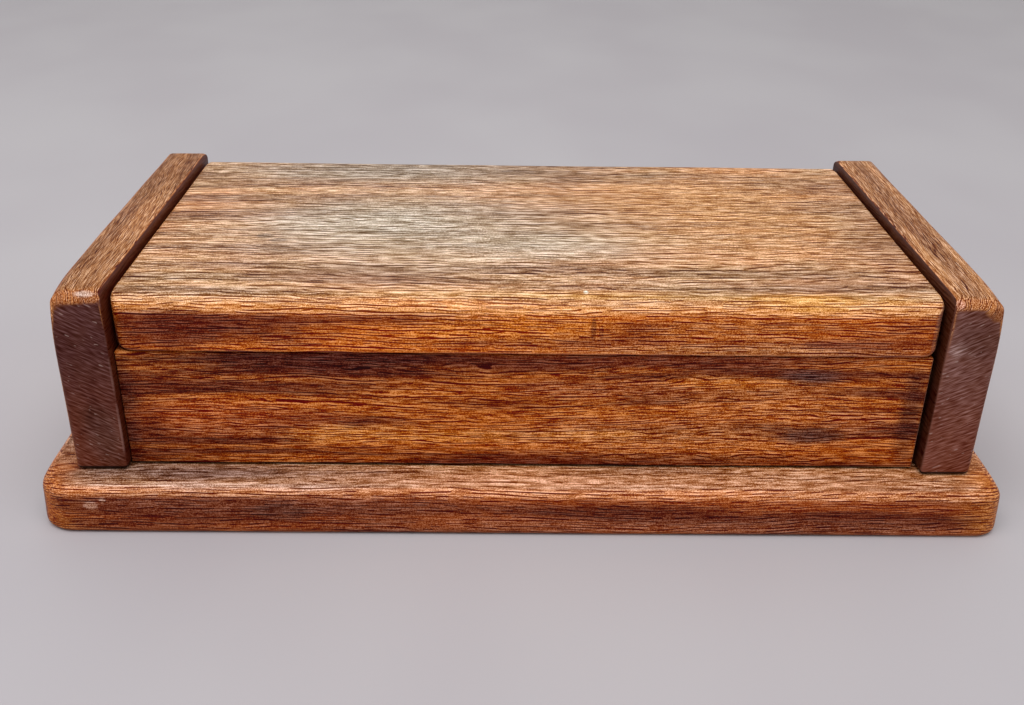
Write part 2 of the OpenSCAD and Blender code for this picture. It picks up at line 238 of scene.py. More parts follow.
def sanding_dip(points, low, high, shape):
    """Depth that sanding and knocks took off at each point: an undulation and the shape's dents."""
    swell = np.clip(waves(points, shape["seed"] + 1, *DIP_WAVES), -1, 1)
    dip = shape["hollow"] * (0.5 + 0.5 * swell)
    for axis, face in shape["flat"]:
        plane = (low, high)[face][axis]
        dip *= np.clip(np.abs(points[:, axis] - plane) / DIP_FADE, 0, 1)
    for place, radius, depth in shape.get("dents", ()):
        gap = np.linalg.norm(points - np.array(place), axis=1)
        dip += depth * np.exp(-((gap / radius) ** 2))
    return dip


def worn_surface(points, low, high, shape):
    """A function that gives the distance, negative inside, to the board that the shape describes."""
    wear = 1 + shape["wander"] * (0.5 + 0.5 * waves(points, shape["seed"], *WEAR_WAVES))
    front, side = shape["front"], shape["side"]
    lower_round = wear * radius_by_side(points, low, high, front[0], front[1], side[0], side[1])
    upper_round = wear * radius_by_side(points, low, high, front[3], front[2], side[3], side[2])
    dip = sanding_dip(points, low, high, shape)

    def distance(p):
        seen_above = profile_distance(p[:, 0], p[:, 1], low[:2], high[:2], shape["plan"], wear)
        seen_front = profile_distance(p[:, 0], p[:, 2], low[::2], high[::2], front, wear)
        seen_side = profile_distance(p[:, 1], p[:, 2], low[1:], high[1:], side, wear)
        lower_rim = filleted_max(seen_above, low[2] - p[:, 2], lower_round)
        upper_rim = filleted_max(seen_above, p[:, 2] - high[2], upper_round)
        return np.maximum.reduce([seen_front, seen_side, lower_rim, upper_rim]) + dip

    return distance


def drawn_in(points, core, distance):
    """The points, each drawn towards its core point until it lies on the surface, found by bisection."""
    inside = np.zeros(len(points))
    outside = np.ones(len(points))
    for _ in range(SHELL_HALVINGS):
        middle = (inside + outside) / 2
        solid = distance(core + (points - core) * middle[:, None]) < 0
        inside = np.where(solid, middle, inside)
        outside = np.where(solid, outside, middle)
    return core + (points - core) * inside[:, None]


def worn_board(name, node, shape):
    """A board in the place of a CAD node, with its edges rounded by the shape's radii and worn by hand.

    plan, front and side are the corner radii seen from above, from the front and from the right side,
    in the order of profile_distance; the rim's rounding runs on round the corners. wander is how much wider
    wear makes them, hollow the depth of the undulation and margin how far the roundings reach in. flat lists
    the faces (axis, side) without undulation, and dents the knocks (place, radius, depth).
    """
    low, high = box_mm(node)
    margin = np.minimum(shape["margin"], (high - low) * MARGIN_LIMIT)
    points, quads = shell_grid([stations(low[k], high[k], margin[k]) for k in range(3)])
    core = np.clip(points, low + margin, high - margin)
    distance = worn_surface(points, low, high, shape)
    board = mesh_object(name, drawn_in(points, core, distance), quads)
    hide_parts(node)
    return board


# ---- Bores ----

BORE_SIDES = 40
AXES = {"x": 0, "y": 1, "z": 2}
# Radial clearance of what runs and of what is fixed in its bore
RUNNING = 0.08
FIXED = 0.05
# Room beyond the end of what sits in a bore, and how far an open bore is cut past the board
END_ROOM = 0.6
OPEN_END = 2.0
# Radii of the screws' shanks, and the share of a head's radius that its rim is high
BASE_SHANK = 2.1
HOOK_SHANK = 1.4
SCREW_RIM = 0.12
# Travels of the joints whose pins and dowels run in bores
LOCK_TRAVEL = 7.0
PANEL_TRAVEL = 1.5
SHARPEST_DEGREES = 38


def turned(axis, centre, profile):
    """Points and faces of a solid turned about an axis; the profile holds (station, radius) pairs."""
    k = AXES[axis]
    others = [j for j in range(3) if j != k]
    angles = np.linspace(0, 2 * math.pi, BORE_SIDES, endpoint=False)
    points, faces = [], []
    for station, radius in profile:
        for angle in angles:
            p = np.zeros(3)
            p[k] = station
            p[others[0]] = centre[others[0]] + radius * math.cos(angle)
            p[others[1]] = centre[others[1]] + radius * math.sin(angle)
            points.append(p)
    last_ring = (len(profile) - 1) * BORE_SIDES
    for start in range(0, last_ring, BORE_SIDES):
        for i in range(BORE_SIDES):
            j = (i + 1) % BORE_SIDES
            faces.append([start + i, start + j, start + BORE_SIDES + j, start + BORE_SIDES + i])
    faces.append(list(range(BORE_SIDES))[::-1])
    faces.append([last_ring + i for i in range(BORE_SIDES)])
    if k == 1:
        faces = [f[::-1] for f in faces]
    return points, faces


def pin_bores(node, axis, clearance, more_low, more_high):
    """Bores round the pins or dowels of a node, drawn out at each end by so many millimetres."""
    k = AXES[axis]
    across = [j for j in range(3) if j != k][0]
    bores = []
    for low, high in islands_mm(node):
        radius = (high[across] - low[across]) / 2 + clearance
        ends = ((low[k] - more_low, radius), (high[k] + more_high, radius))
        bores.append(turned(axis, (low + high) / 2, ends))
    return bores


def screw_bores(node, clearance, shank):
    """Countersunk bores round the upright screws of a node, open below at their heads."""
    bores = []
    for low, high in islands_mm(node):
        head = (high[0] - low[0]) / 2
        rim = head * SCREW_RIM
        heights = (-OPEN_END, rim, rim + head - shank, high[2] - low[2] + END_ROOM)
        radii = (head + clearance, head + clearance, shank + clearance, shank + clearance)
        profile = [(low[2] + height, radius) for height, radius in zip(heights, radii)]
        bores.append(turned("z", (low + high) / 2, profile))
    return bores


def bore_out(board, bores):
    """Cuts the bores out of a board and leaves its mesh without a modifier."""
    points, faces = [], []
    for bore_points, bore_faces in bores:
        faces += [[i + len(points) for i in f] for f in bore_faces]
        points += list(bore_points)
    cutter = mesh_object(board.name + "_cutter", points, faces)
    cut = board.modifiers.new("bores", "BOOLEAN")
    cut.operation = "DIFFERENCE"
    cut.solver = "EXACT"
    cut.object = cutter
    finished = bpy.data.meshes.new_from_object(board.evaluated_get(bpy.context.evaluated_depsgraph_get()))
    board.modifiers.clear()
    rough = board.data
    board.data = finished
    bpy.data.meshes.remove(rough)
    bpy.data.meshes.remove(cutter.data)
    board.data.name = board.name


def smooth(made):
    """Smooth shading, with the sharp edges of bores kept."""
    made.data.shade_smooth()
    made.data.set_sharp_from_angle(angle=math.radians(SHARPEST_DEGREES))


# ---- Materials ----

EYE_GAMMA = 2.2
TONE_STEPS = (1.0, 1.05, 1.12)
DARKEST_TONE = -0.34
LIGHTEST_TONE = 0.24
# Between these lightnesses a tone grows from the first share of itself to the second
TONED_LIGHTNESS = (0.12, 0.5)
TONED_SHARES = (0.6, 1.1)


class Recipe:
    """Builds the nodes of one material. A value may be a number, a tuple or the output of an earlier node."""

    def __init__(self, name):
        self.material = bpy.data.materials.new(name)
        self.material.use_nodes = True
        self.tree = self.material.node_tree
        self.shader = self.tree.nodes["Principled BSDF"]
        coordinates = self.tree.nodes.new("ShaderNodeTexCoord")
        self.normal = coordinates.outputs["Normal"]
        self.place = self.vector("SCALE", coordinates.outputs["Object"], scale=1 / MM)

    def feed(self, socket, value):
        if isinstance(value, bpy.types.NodeSocket):
            self.tree.links.new(value, socket)
        else:
            socket.default_value = value

    def node(self, kind, inputs, output=0, **settings):
        """An output of a new node. An input that is None keeps its default."""
        node = self.tree.nodes.new("ShaderNode" + kind)
        for name, value in settings.items():
            setattr(node, name, value)
        for socket, value in inputs.items():
            if value is not None:
                self.feed(node.inputs[socket], value)
        return node.outputs[output]

    def finish_with(self, **values):
        """Sets the shader's sockets; an underscore in a name stands for a space."""
        for name, value in values.items():
            self.feed(self.shader.inputs[name.replace("_", " ")], value)
        return self.material

    def math(self, operation, first, second=0.0, clamp=False):
        return self.node("Math", {0: first, 1: second}, operation=operation, use_clamp=clamp)

    def times(self, first, second):
        return self.math("MULTIPLY", first, second)

    def over(self, first, second):
        return self.math("DIVIDE", first, second)

    def plus(self, first, second):
        return self.math("ADD", first, second)

    def minus(self, first, second):
        return self.math("SUBTRACT", first, second)

    def magnitude(self, value):
        return self.math("ABSOLUTE", value)

    def swing(self, field, reach):
        """A 0 to 1 field as a swing of so much about 0."""
        return self.times(self.minus(field, 0.5), reach)

    def vector(self, operation, first, second=None, scale=None):
        output = "Value" if operation in ("LENGTH", "DISTANCE", "DOT_PRODUCT") else "Vector"
        return self.node("VectorMath", {0: first, 1: second, "Scale": scale}, output, operation=operation)

    def noise(self, vector, detail=0.0, roughness=0.5, colours=False):
        inputs = {"Vector": vector, "Scale": 1.0, "Detail": detail, "Roughness": roughness}
        return self.node("TexNoise", inputs, "Color" if colours else "Fac", noise_dimensions="3D")

    def grain(self, frequencies, **options):
        """A noise in the part's frame with its own frequency along X, Y and Z, per millimetre."""
        return self.noise(self.vector("MULTIPLY", self.place, frequencies), **options)

    def combined(self, x, y, z):
        return self.node("CombineXYZ", {0: x, 1: y, 2: z})

    def step(self, value, start, end, low=0.0, high=1.0):
        """low at start and below, high at end and above, smooth between; start may lie above end."""
        if start > end:
            start, end, low, high = end, start, high, low
        inputs = {"Value": value, "From Min": start, "From Max": end, "To Min": low, "To Max": high}
        return self.node("MapRange", inputs, "Result", interpolation_type="SMOOTHSTEP")

    def fading_to(self, where, least):
        """1 where a share is 0, least where it is 1."""
        return self.step(where, 0.0, 1.0, 1.0, least)

    def blend(self, share, first, second):
        return self.node("Mix", {"Factor": share, 6: first, 7: second}, 2, data_type="RGBA")

    def component(self, vector, axis):
        return self.node("SeparateXYZ", {0: vector}, AXES[axis])

    def gamma(self, value, power):
        return self.node("Gamma", {"Color": value, "Gamma": power}, "Color")

    def toned(self, body, tone):
        """Adds a tone to a colour in the steps that the eye sees; on dark wood the steps are smaller."""
        seen = self.gamma(body, 1 / EYE_GAMMA)
        tone = self.math("MINIMUM", self.math("MAXIMUM", tone, DARKEST_TONE), LIGHTEST_TONE)
        amount = self.times(tone, self.step(self.component(seen, "y"), *TONED_LIGHTNESS, *TONED_SHARES))
        seen = self.vector("ADD", seen, self.vector("SCALE", TONE_STEPS, scale=amount))
        return self.gamma(self.vector("MAXIMUM", seen, (0.0, 0.0, 0.0)), EYE_GAMMA)

    def bump(self, height, distance_mm, strength=1.0):
        inputs = {"Height": height, "Distance": distance_mm * MM, "Strength": strength}
        return self.node("Bump", inputs, "Normal")


# How far a ragged field moves a blot's edge, in shares of its radii, and how softly blots end
BLOT_RAGGEDNESS = 1.4
MARK_SOFTNESS = 0.75
SHEEN_AND_DUST_SOFTNESS = 0.9
DETAIL_SOFTNESS = 0.5
CORNER_SOFTNESS = 0.35
# The middle of a ragged field, for an edge that isn't ragged
NOT_RAGGED = 0.5

# Ranges of the normal's share along an axis in which one look gives way to the next
TOP_TILT = (0.80, 0.985)
UNDERSIDE_TILT = (0.6, 0.95)
ROUND_TOP_END = (0.995, 0.85)
UNDER_EDGE_TILT = (-0.15, -0.45)
UNDER_EDGE_END = (-0.98, -0.85)
FOOT_TILT = (-0.12, -0.35)
OUTER_SIDE_TILT = (0.6, 0.9)
INNER_EDGE_TILT = (0.2, 0.5)
FRONT_EDGE_TILT = (0.25, 0.6)
INNER_FACE_TILT = (0.55, 0.75)
ALONG_RINGS_TILT = (0.985, 0.94)
END_TURN_RANGE = 0.2
END_TOP_RANGE = 0.12
END_TOP_RAGGEDNESS = 0.6
# Heights between which an end board's outer roundings change from end grain to side grain
END_TOP_HEIGHTS = (66.0, 86.0)
END_TOP_LIFT = 0.6

# Length and width of the grain's slow and quick bends, of the rings' sway and of the clouds
DRIFT_SIZE = (150, 42)
RIPPLE_SIZE = (38, 10)
RING_SWAY_SIZE = (36, 4.0)
CLOUD_SIZE = (40, 24)
FIELD_SHIFT = (7.31, 3.17, 5.53)
STRAIGHT_SWAY = 0.35

# A dash's line and pale edges fade between these shares of half its thickness
DASH_LINE = (1.3, 0.6)
DASH_EDGES = (3.2, 1.8)
DASH_BREAKS = (0.43, 0.56)
DASH_RING_SHIFT = 3.71
DASH_WOOD_SHIFT = 5.3
DASH_SWAY_WIDTH = 2.5
UNDERSIDE_LINES = 0.55
FIBRE_RELIEF = 0.6
LINE_RELIEF = 1.2

# Values of the zones and clouds between which one colour gives way to the next
ZONE_BODY = (0.38, 0.62)
ZONE_DUST_AND_SHEEN = (0.36, 0.64)
CLOUD_DUST_AND_SHEEN = (0.25, 0.75)
CLOUD_WEAR = (0.35, 0.6)
CLOUD_GLOSS = (0.3, 0.7)
# Distances from a ring stain's circle between which it fades
STAIN_FADE = (0.55, 0.2)

# Sawn end grain: how far clouds bend the saw's lines, and the patches in which they show
SAW_BEND = 2.0
SAW_PATCH = 5.0
SAW_PATCH_RANGE = (0.38, 0.62)
SAW_PATCH_SHARES = (0.05, 0.5)
# Length and width of the strokes and the flecks
STROKE_SIZE = (4.0, 0.55)
FLECK_SIZE = (2.4, 0.9)
FLECK_SHIFT = 7.7
FLECK_RANGE = (0.78, 0.83)
FLECK_SHARE = 0.6
END_CLOUDS = 0.35
# Heights between which the end grain's colour changes from the top to the bottom
END_HEIGHTS = (72.0, 28.0)

GLOSS_SPREAD = (-0.05, 0.08)
UNDERSIDE_ROUGHNESS = 0.15
SHINE_TILT = (0.05, 0.5)


def spot(recipe, centre, radii, ragged, softness):
    """1 in the middle of a soft blot of the given radii, 0 outside it; ragged roughens its edge."""
    offset = recipe.vector("SUBTRACT", recipe.place, centre)
    scaled = recipe.vector("DIVIDE", offset, radii)
    reach = recipe.plus(recipe.vector("LENGTH", scaled), recipe.swing(ragged, BLOT_RAGGEDNESS))
    return recipe.step(reach, 1.0, 1.0 - softness)


class OakRecipe(Recipe):
    """A recipe with the fields that every oak surface shares: bent grain, zones and the way it faces."""

    def __init__(self, name, wood):
        super().__init__(name)
        self.wood = wood
        self.fields = 0
        self.cross = tuple(0.0 if axis == wood["grain"] else 1.0 for axis in AXES)
        self.tilt = self.component(self.normal, "z")
        self.across_x = self.magnitude(self.component(self.normal, "x"))
        self.across_y = self.magnitude(self.component(self.normal, "y"))
        self.underside = self.facing("-z", *UNDERSIDE_TILT)
        self.bend_grain()
        self.find_rings()
        self.zone = self.varied(wood["zone_length"], wood["zone_width"], detail=1.0, roughness=0.4)
        self.cloud = self.varied(*CLOUD_SIZE, self.place, detail=3.0, roughness=0.6)
        self.find_top()
        self.find_end_grain()

    def varied(self, along, across, place=None, spread=(1.0, 1.0, 1.0), **options):
        """A noise whose features are so many millimetres long and wide along the grain, new at each call.

        spread widens them along X, Y and Z.
        """
        self.fields += 1
        shift = self.wood["seed"] + self.fields
        size = [1 / (across * wider) for wider in spread]
        size[AXES[self.wood["grain"]]] = 1 / along
        scaled = self.vector("MULTIPLY", self.bent if place is None else place, tuple(size))
        shifted = self.vector("ADD", scaled, tuple(shift * part for part in FIELD_SHIFT))
        return self.noise(shifted, **options)

    def facing(self, axis, start, end):
        """1 on surfaces that face along an axis, such as 'z' or '-z', and 0 on those that don't."""
        part = self.component(self.normal, axis[-1])
        if axis.startswith("-"):
            part = self.times(part, -1.0)
        return self.step(part, start, end)

    def bend_grain(self):
        """Sets the place in the wood that each point shows: its own, swayed across the grain."""
        middle = (0.5, 0.5, 0.5)
        drift = self.varied(*DRIFT_SIZE, self.place, colours=True)
        ripple = self.varied(*RIPPLE_SIZE, self.place, detail=1.0, colours=True)
        sway = self.vector("SCALE", self.vector("SUBTRACT", drift, middle), scale=self.wood["drift"])
        quick = self.vector("SCALE", self.vector("SUBTRACT", ripple, middle), scale=self.wood["ripple"])
        sway = self.vector("ADD", sway, quick)
        self.bent = self.vector("ADD", self.place, self.vector("MULTIPLY", sway, self.cross))

    def find_rings(self):
        """Sets the distance from the heart, which the ring lines follow, and two shares that tame them.

        They fade (cut_across) where the surface lies along the rings, which would widen them into patches,
        and run straighter (straight) on the outer sides and the underside.
        """
        wood = self.wood
        outward = self.vector("SUBTRACT", self.vector("MULTIPLY", self.place, self.cross), wood["heart"])
        outward = self.vector("NORMALIZE", outward)
        lying = self.magnitude(self.vector("DOT_PRODUCT", outward, self.normal))
        self.cut_across = self.step(lying, *ALONG_RINGS_TILT)
        outer_side = self.step(self.across_x, *OUTER_SIDE_TILT)
        self.straight = self.fading_to(self.math("MAXIMUM", outer_side, self.underside), STRAIGHT_SWAY)
        sway = self.times(self.varied(*RING_SWAY_SIZE, spread=wood["fine_spread"]), self.straight)
        reach = self.vector("DISTANCE", self.vector("MULTIPLY", self.bent, self.cross), wood["heart"])
        self.reach = self.plus(reach, self.times(sway, wood["ring_bend"]))

    def find_top(self):
        """The shares of top, upper and lower roundings, upright edge facing inside, the bottom edge that
        takes a painted contact shadow, and the face inside an end board that takes painted shade.
        """
        wood, inside = self.wood, self.wood["inner_face"]
        self.top = self.times(self.facing("z", *TOP_TILT), wood["top_share"])
        risen = self.step(self.tilt, *wood["gold_from"])
        self.rounding = self.times(risen, self.step(self.tilt, *ROUND_TOP_END))
        lowered = self.step(self.tilt, *UNDER_EDGE_TILT)
        self.under_edge = self.times(lowered, self.step(self.tilt, *UNDER_EDGE_END))
        toward_front = self.step(self.across_y, *FRONT_EDGE_TILT)
        self.upright_edge = self.times(self.facing(inside, *INNER_EDGE_TILT), toward_front)
        # foot: where the bottom edges curve down to the base, for the painted contact shadow
        self.foot = self.times(self.step(self.tilt, *FOOT_TILT), wood["contact_shadow_share"])
        self.shaded_inside = self.times(self.facing(inside, *INNER_FACE_TILT), wood["inner_shade_share"])

    def find_end_grain(self):
        """The share of sawn end grain, which ends raggedly near the top and spares some corners."""
        wood = self.wood
        toward_end = self.across_y if wood["grain"] == "y" else self.across_x
        ragged_tilt = self.plus(self.tilt, self.swing(self.cloud, END_TOP_RAGGEDNESS))
        lift = self.step(self.component(self.place, "z"), *END_TOP_HEIGHTS, 0.0, END_TOP_LIFT)
        ragged_tilt = self.plus(ragged_tilt, self.times(self.across_x, lift))
        turn, top = wood["end_turn"], wood["end_top"]
        turned_to_end = self.step(toward_end, turn, turn + END_TURN_RANGE)
        below_top = self.step(ragged_tilt, top + END_TOP_RANGE, top - END_TOP_RANGE)
        self.end = self.times(turned_to_end, below_top)
        for centre, radii in wood["side_grain_corners"]:
            corner = spot(self, centre, radii, self.cloud, CORNER_SOFTNESS)
            self.end = self.times(self.end, self.minus(1.0, corner))

    def by_top(self, side_name, top_name):
        """A value of the wood that changes from the sides to the top."""
        return self.step(self.top, 0.0, 1.0, self.wood[side_name], self.wood[top_name])

    def dashes(self, gap, thickness, length, bend):
        """Thin dark lines along the rings, broken along their length, with paler edges."""
        half = thickness / gap / 2
        sway_length = length * self.wood["sway_reach"]
        sway = self.varied(sway_length, gap * DASH_SWAY_WIDTH, spread=self.wood["fine_spread"])
        sway = self.times(sway, self.straight)
        steps = self.plus(self.over(self.reach, gap), self.times(sway, bend))
        away = self.magnitude(self.minus(self.math("FRACT", steps), 0.5))
        along = self.over(self.component(self.place, self.wood["grain"]), length)
        ring = self.times(self.math("FLOOR", steps), DASH_RING_SHIFT)
        own = self.combined(along, ring, self.wood["seed"] * DASH_WOOD_SHIFT + gap)
        line = self.step(away, *(half * share for share in DASH_LINE))
        beside = self.minus(self.step(away, *(half * share for share in DASH_EDGES)), line)
        profile = self.minus(line, self.times(beside, self.wood["line_edge"]))
        return self.times(profile, self.step(self.noise(own), *DASH_BREAKS))

    def grain_lines(self):
        """Darkness of all rows of dashes together."""
        dark = 0.0
        for *row, depth in self.wood["dashes"]:
            dark = self.plus(self.times(self.dashes(*row), depth), dark)
        dark = self.times(dark, self.by_top("line_depth", "top_line_depth"))
        dark = self.times(dark, self.cut_across)
        return self.times(dark, self.fading_to(self.underside, UNDERSIDE_LINES))

    def fine_tone(self):
        """Tone of the grain, from fibres, streaks, specks and dark lines, and its relief."""
        wood, spread = self.wood, self.wood["fine_spread"]
        fibre = self.varied(wood["fibre_length"], wood["fibre_width"], spread=spread)
        streak = self.varied(wood["streak_length"], wood["streak_width"], spread=spread)
        speck = self.noise(self.vector("SCALE", self.place, scale=1 / wood["speck_size"]))
        tone = self.swing(fibre, wood["fibre_contrast"])
        tone = self.plus(tone, self.swing(streak, wood["streak_contrast"]))
        tone = self.plus(tone, self.swing(speck, wood["speck_contrast"]))
        dark = self.grain_lines()
        tone = self.minus(self.plus(tone, wood["tone_lift"]), dark)
        plain = self.fading_to(self.end, wood["end_contrast"])
        # The grain is also muted in the painted shade on the end boards' faces inside.
        plain = self.times(plain, self.fading_to(self.shaded_inside, wood["inner_contrast"]))
        relief = self.minus(self.times(fibre, FIBRE_RELIEF), self.times(dark, LINE_RELIEF))
        return self.times(tone, plain), self.times(relief, plain)

    def tint(self, name):
        return colour(*self.wood[name])

    def blotted(self, body, kind, ragged, softness, within=None):
        """The body colour under one kind of the wood's blots, all over or within a share of the surface."""
        for centre, radii, amount, tint in self.wood.get(kind, ()):
            share = self.times(spot(self, centre, radii, ragged, softness), amount)
            if within is not None:
                share = self.times(share, within)
            body = self.blend(share, body, colour(*tint))
        return body

    def ring_stained(self, body):
        """The body colour under the faint ring stains."""
        for centre, radius, amount, tint in self.wood.get("ring_stains", ()):
            off_ring = self.magnitude(self.minus(self.vector("DISTANCE", self.place, centre), radius))
            body = self.blend(self.step(off_ring, *STAIN_FADE, 0.0, amount), body, colour(*tint))
        return body

    def stained(self, body):
        """The body colour with its marks and painted shade, golden roundings of wear and painted highlight,
        dust and painted sheen on top, blots of sheen, highlight and dust, rim marks and highlights, details,
        stains, and painted shade inside the end boards.
        """
        wood = self.wood
        # marks: stains and tone, and on the front panel painted shade under the lid and beside the end
        # boards.
        body = self.blotted(body, "marks", self.cloud, MARK_SOFTNESS)
        # Golden upper roundings: wear, with a painted highlight where the light from above would catch them.
        body = self.blend(self.times(self.rounding, wood["gold_share"]), body, self.tint("gold"))
        # The pale top layer is dust and a painted sheen: the tops are greyed and lightened as glossy varnish
        # looks where it reflects the room's light.
        dust_and_sheen_share = self.times(self.top, self.step(self.cloud, *CLOUD_DUST_AND_SHEEN, wood["dust_low"], wood["dust_high"]))
        dust = self.blend(self.step(self.zone, *ZONE_DUST_AND_SHEEN), self.tint("dust"), self.tint("dust_dark"))
        body = self.blend(dust_and_sheen_share, body, dust)
        ragged = self.times(self.plus(self.cloud, self.zone), 0.5)
        # Blots on the top alone: painted sheen and highlights, and dust.
        body = self.blotted(body, "sheen_and_dust_blots", ragged, SHEEN_AND_DUST_SOFTNESS, self.top)
        # Rim blots: stains and tone, and painted highlights on the front roundings.
        body = self.blotted(body, "rim_marks_and_highlights", self.cloud, MARK_SOFTNESS)
        body = self.blotted(body, "details", NOT_RAGGED, DETAIL_SOFTNESS)
        body = self.ring_stained(body)
        # Painted shade: the end boards' faces inside, which lie in the narrow gaps beside the lid and the
        # panels, take the dark inner colour.
        return self.blend(self.shaded_inside, body, self.tint("inner"))

    def saw_strokes(self, along, across, size, shift):
        """Short strokes along the saw's lines."""
        length, width = size
        return self.noise(self.combined(self.over(along, length), self.over(across, width), shift))

    def end_grain(self):
        """Colour of the sawn end grain with its slanting saw lines, and the share of pale flecks."""
        wood = self.wood
        slope = wood["saw_slope"]
        level = (0.0, 1.0) if wood["grain"] == "x" else (1.0, 0.0)
        across = self.vector("DOT_PRODUCT", self.place, (slope * level[0], slope * level[1], 1.0))
        across = self.plus(across, self.times(self.cloud, SAW_BEND))
        along = self.vector("DOT_PRODUCT", self.place, (*level, -slope))
        lines = self.math("SINE", self.times(across, 2 * math.pi / wood["saw_gap"]))
        patch = self.varied(SAW_PATCH, SAW_PATCH, self.place, detail=2.0, roughness=0.6)
        lines = self.times(lines, self.step(patch, *SAW_PATCH_RANGE, *SAW_PATCH_SHARES))
        stroke = self.saw_strokes(along, across, STROKE_SIZE, 0.0)
        fleck = self.saw_strokes(along, across, FLECK_SIZE, FLECK_SHIFT)
        tone = self.plus(self.times(lines, wood["saw_depth"]), self.swing(stroke, wood["stroke_contrast"]))
        tone = self.plus(tone, self.swing(self.cloud, END_CLOUDS))
        low = self.step(self.component(self.place, "z"), *END_HEIGHTS)
        body = self.blend(low, self.tint("end"), self.tint("end_low"))
        body = self.blotted(body, "end_marks", self.cloud, MARK_SOFTNESS)
        return self.toned(body, tone), self.times(self.step(fleck, *FLECK_RANGE), self.end)

    def gloss(self):
        """Roughness of the varnish: uneven, duller on top and underneath."""
        base = self.wood["roughness"]
        rough = self.step(self.cloud, *CLOUD_GLOSS, *(base + change for change in GLOSS_SPREAD))
        rough = self.plus(rough, self.times(self.top, self.wood["top_roughness"]))
        return self.math("ADD", rough, self.times(self.underside, UNDERSIDE_ROUGHNESS), clamp=True)


def oak(name, wood):
    """Varnished oak that has aged: growth rings, pores, stains, dust with a painted sheen on top, dark end
    grain, and painted shade, contact shadow and highlights.
    """
    r = OakRecipe(name, wood)
    body = r.stained(r.blend(r.step(r.zone, *ZONE_BODY), r.tint("amber"), r.tint("brown")))
    tone, relief = r.fine_tone()
    end_body, flecks = r.end_grain()
    body = r.blend(r.times(r.end, wood["end_share"]), r.toned(body, tone), end_body)
    # Pale edge lines: wear on the lower roundings, and wear with a painted highlight on the upright edges
    # facing inside.
    worn = r.times(r.math("MAXIMUM", r.under_edge, r.upright_edge), r.step(r.cloud, *CLOUD_WEAR))
    body = r.blend(r.times(worn, wood["edge_share"]), body, r.tint("edge"))
    body = r.blend(r.times(flecks, FLECK_SHARE), body, r.tint("fleck"))
    # Painted contact shadow: the downward rounding of the bottom edges, where the boards stand, takes the
    # near-black foot colour.
    body = r.blend(r.foot, body, r.tint("foot"))
    return r.finish_with(
        Base_Color=body,
        Roughness=r.gloss(),
        Normal=r.bump(relief, 0.25, 0.9),
        IOR=1.5,
        Specular_IOR_Level=r.step(r.tilt, *SHINE_TILT, wood["side_shine"], wood["top_shine"]),
        Coat_Weight=r.times(r.rounding, wood["coat"]),
        Coat_Roughness=0.22,
    )


def metal(name, tone, dull, grain, patches, patch_range, roughness):
    """A metal with a fine grain and dull patches; patches gives their frequency, detail and roughness."""
    r = Recipe(name)
    frequency, detail, patch_roughness = patches
    patch = r.grain((frequency, frequency, frequency), detail=detail, roughness=patch_roughness)
    return r.finish_with(
        Base_Color=r.blend(r.step(patch, *patch_range), tone, dull),
        Roughness=r.step(patch, 0.35, 0.7, *roughness),
        Normal=r.bump(r.grain(grain, detail=2.0), 0.03, 0.5),
        Metallic=1.0,
    )


def steel(name, tone, roughness):
    """Turned steel with a fine grain and a few dull stains."""
    dull = tuple(0.55 * c for c in tone[:3]) + (1.0,)
    reach = (roughness, roughness + 0.22)
    return metal(name, tone, dull, (9.0, 9.0, 9.0), (0.25, 3.0, 0.6), (0.45, 0.7), reach)


def brass(name, tone, tarnish):
    """Aged brass: brown tarnish in patches, with a fine grain from rolling."""
    return metal(name, tone, tarnish, (0.8, 12.0, 12.0), (0.22, 4.0, 0.65), (0.40, 0.66), (0.28, 0.55))


def dowel_wood(name):
    """Bare birch dowel with a fine grain along X."""
    r = Recipe(name)
    fibre = r.grain((0.08, 2.5, 2.5), detail=2.0, roughness=0.6)
    patch = r.grain((0.05, 0.25, 0.25), detail=1.0)
    body = r.blend(r.step(patch, 0.3, 0.7), colour(206, 170, 118), colour(178, 134, 84))
    return r.finish_with(
        Base_Color=r.blend(r.times(r.step(fibre, 0.55, 0.72), 0.6), body, colour(140, 98, 58)),
        Roughness=r.step(fibre, 0.3, 0.7, 0.6, 0.75),
        Normal=r.bump(fibre, 0.05),
    )


def floor_material():
    """Plain pale floor, a little uneven in tone."""
    r = Recipe("pale_floor")
    tone = r.grain((0.006, 0.004, 0.01), detail=2.0)
    body = r.blend(r.step(tone, 0.3, 0.7), colour(175, 170, 175), colour(181, 177, 181))
    return r.finish_with(Base_Color=body, Roughness=0.62)


# ---- The six boards ----

END_WEAR = dict(wander=0.25, hollow=0.18, margin=(7.0, 7.0, 8.0))

